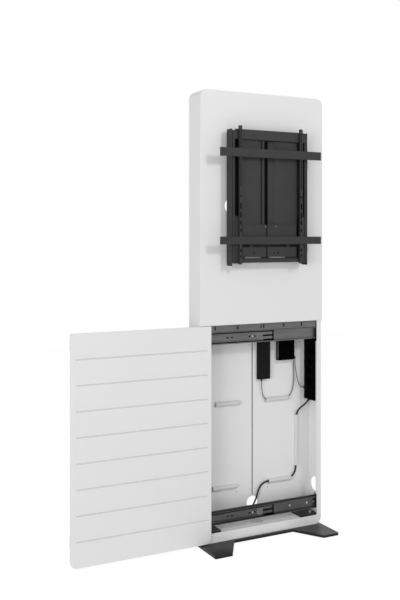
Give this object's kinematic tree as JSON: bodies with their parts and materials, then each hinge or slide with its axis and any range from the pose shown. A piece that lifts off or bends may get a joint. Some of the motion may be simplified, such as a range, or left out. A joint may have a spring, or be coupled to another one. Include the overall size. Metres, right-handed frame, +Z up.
{
  "type": "counterbalanced television floor stand",
  "caption": "Slim floor stand for a flat screen: a white steel column on a black footed base, with a spring-balanced lift and a sliding planked door over a cable compartment.",
  "frame": {"origin": "on the floor, under the middle of the column and level with its front face", "axes": "+X to the right as seen from the front, +Y to the back, +Z up"},
  "size_m": [1.28, 0.39, 2.085],
  "materials": {
    "white_steel": "matt white powder coat",
    "white_board": "matt white lacquer on fine fibreboard",
    "grey_foam": "grey closed-cell foam",
    "white_plastic": "satin white plastic",
    "black_steel": "matt black powder coat, fine texture",
    "base_steel": "semi-gloss black powder coat",
    "slide_steel": "dark zinc plated, slightly oily",
    "black_plastic": "fine grained black plastic",
    "grey_plastic": "matt light grey plastic",
    "device_plastic": "dark grey moulded plastic",
    "rubber": "matt",
    "bright_steel": "bright zinc plated",
    "spring_steel": "polished spring steel",
    "lead_sheath": "satin black sheath"
  },
  "bodies": {
    "root": {"base_plate": "base_steel", "floor_mat": "rubber", "base_sleeves": "bright_steel", "clamp_plates": "base_steel", "base_bolts": "bright_steel", "cabinet_shell": "white_steel", "floor_tray": "white_steel", "cable_hole_cap": "white_plastic", "lower_rear_panel": "white_steel", "upper_rear_panel": "white_steel", "panel_screws": "bright_steel", "upper_cover": "white_board", "back_plates": "white_steel", "joint_strip": "grey_foam", "cable_guides": "white_plastic", "power_adapter": "device_plastic", "media_box": "black_plastic", "power_strip": "black_plastic", "lead_fittings": "lead_sheath", "adapter_lead": "lead_sheath", "box_lead": "lead_sheath", "mains_lead": "lead_sheath", "mains_lead_coil": "lead_sheath", "mains_plug": "lead_sheath", "upper_slide_rail": "slide_steel", "lower_slide_rail": "slide_steel", "slide_rail_screws": "bright_steel", "outer_slide_members": "slide_steel", "reinforcement_channels": "white_steel", "lift_back_plate": "black_steel", "lift_guides": "black_steel", "lift_standoffs": "black_steel", "lift_bolts": "bright_steel", "lift_cross_plates": "black_steel", "lift_covers": "black_steel", "drum_axles": "bright_steel", "spring_strips": "spring_steel"},
    "door": {"door_panel": "white_board", "door_hangers": "white_steel", "door_screws": "bright_steel", "inner_slide_members": "slide_steel"},
    "middle_slides": {"middle_slide_members": "slide_steel", "slide_bumpers": "grey_plastic"},
    "outer_cages": {"outer_ball_cages": "black_plastic"},
    "inner_cages": {"inner_ball_cages": "slide_steel"},
    "carriage": {"carriage_brackets": "black_steel", "roller_axles": "bright_steel", "carriage_bridge": "black_steel", "carriage_plates": "black_steel", "carriage_screws": "bright_steel", "perforated_arms": "black_steel", "hanging_bars": "black_steel", "bar_screws": "black_steel"},
    "left_drum": {"left_spring_drum": "spring_steel"},
    "right_drum": {"right_spring_drum": "spring_steel"},
    "lower_left_roller": {"lower_left_guide_roller": "black_plastic"},
    "lower_right_roller": {"lower_right_guide_roller": "black_plastic"},
    "upper_left_roller": {"upper_left_guide_roller": "black_plastic"},
    "upper_right_roller": {"upper_right_guide_roller": "black_plastic"},
    "switch_rocker": {"strip_switch": "black_plastic"}
  },
  "joints": [
    {"name": "door_slide", "type": "slide", "parent": "root", "child": "door", "axis": [1, 0, 0], "range_m": [0, 0.612]},
    {"name": "middle_member_slide", "type": "slide", "parent": "root", "child": "middle_slides", "axis": [1, 0, 0], "range_m": [0, 0.306]},
    {"name": "outer_cage_slide", "type": "slide", "parent": "root", "child": "outer_cages", "axis": [1, 0, 0], "range_m": [0, 0.153]},
    {"name": "inner_cage_slide", "type": "slide", "parent": "root", "child": "inner_cages", "axis": [1, 0, 0], "range_m": [0, 0.459]},
    {"name": "lift_slide", "type": "slide", "parent": "root", "child": "carriage", "axis": [0, 0, 1], "range_m": [0, 0.34], "deforming": ["spring_strips"]},
    {"name": "left_drum_turn", "type": "hinge", "parent": "root", "child": "left_drum", "pos_m": [-0.0635, -0.03, 1.8], "axis": [0, 1, 0], "range_deg": [-513, 0]},
    {"name": "right_drum_turn", "type": "hinge", "parent": "root", "child": "right_drum", "pos_m": [0.0635, -0.03, 1.8], "axis": [0, 1, 0], "range_deg": [0, 513]},
    {"name": "lower_left_roller_turn", "type": "hinge", "parent": "carriage", "child": "lower_left_roller", "pos_m": [-0.1925, -0.036, 1.314], "axis": [1, 0, 0], "range_deg": [-918.9, 0]},
    {"name": "lower_right_roller_turn", "type": "hinge", "parent": "carriage", "child": "lower_right_roller", "pos_m": [0.1925, -0.036, 1.314], "axis": [1, 0, 0], "range_deg": [-918.9, 0]},
    {"name": "upper_left_roller_turn", "type": "hinge", "parent": "carriage", "child": "upper_left_roller", "pos_m": [-0.1925, -0.036, 1.486], "axis": [1, 0, 0], "range_deg": [0, 918.9]},
    {"name": "upper_right_roller_turn", "type": "hinge", "parent": "carriage", "child": "upper_right_roller", "pos_m": [0.1925, -0.036, 1.486], "axis": [1, 0, 0], "range_deg": [0, 918.9]},
    {"name": "switch_tilt", "type": "hinge", "parent": "root", "child": "switch_rocker", "pos_m": [0.3005, 0.086, 0.634], "axis": [0, 1, 0], "range_deg": [0, 12]}
  ],
  "couplings": [
    {"joint": "middle_member_slide", "follows": "door_slide", "ratio": 0.5},
    {"joint": "outer_cage_slide", "follows": "door_slide", "ratio": 0.25},
    {"joint": "inner_cage_slide", "follows": "door_slide", "ratio": 0.75},
    {"joint": "left_drum_turn", "follows": "lift_slide", "rad_per_m": -26.316},
    {"joint": "right_drum_turn", "follows": "lift_slide", "rad_per_m": 26.316},
    {"joint": "lower_left_roller_turn", "follows": "lift_slide", "rad_per_m": -47.17},
    {"joint": "lower_right_roller_turn", "follows": "lift_slide", "rad_per_m": -47.17},
    {"joint": "upper_left_roller_turn", "follows": "lift_slide", "rad_per_m": 47.17},
    {"joint": "upper_right_roller_turn", "follows": "lift_slide", "rad_per_m": 47.17}
  ]
}
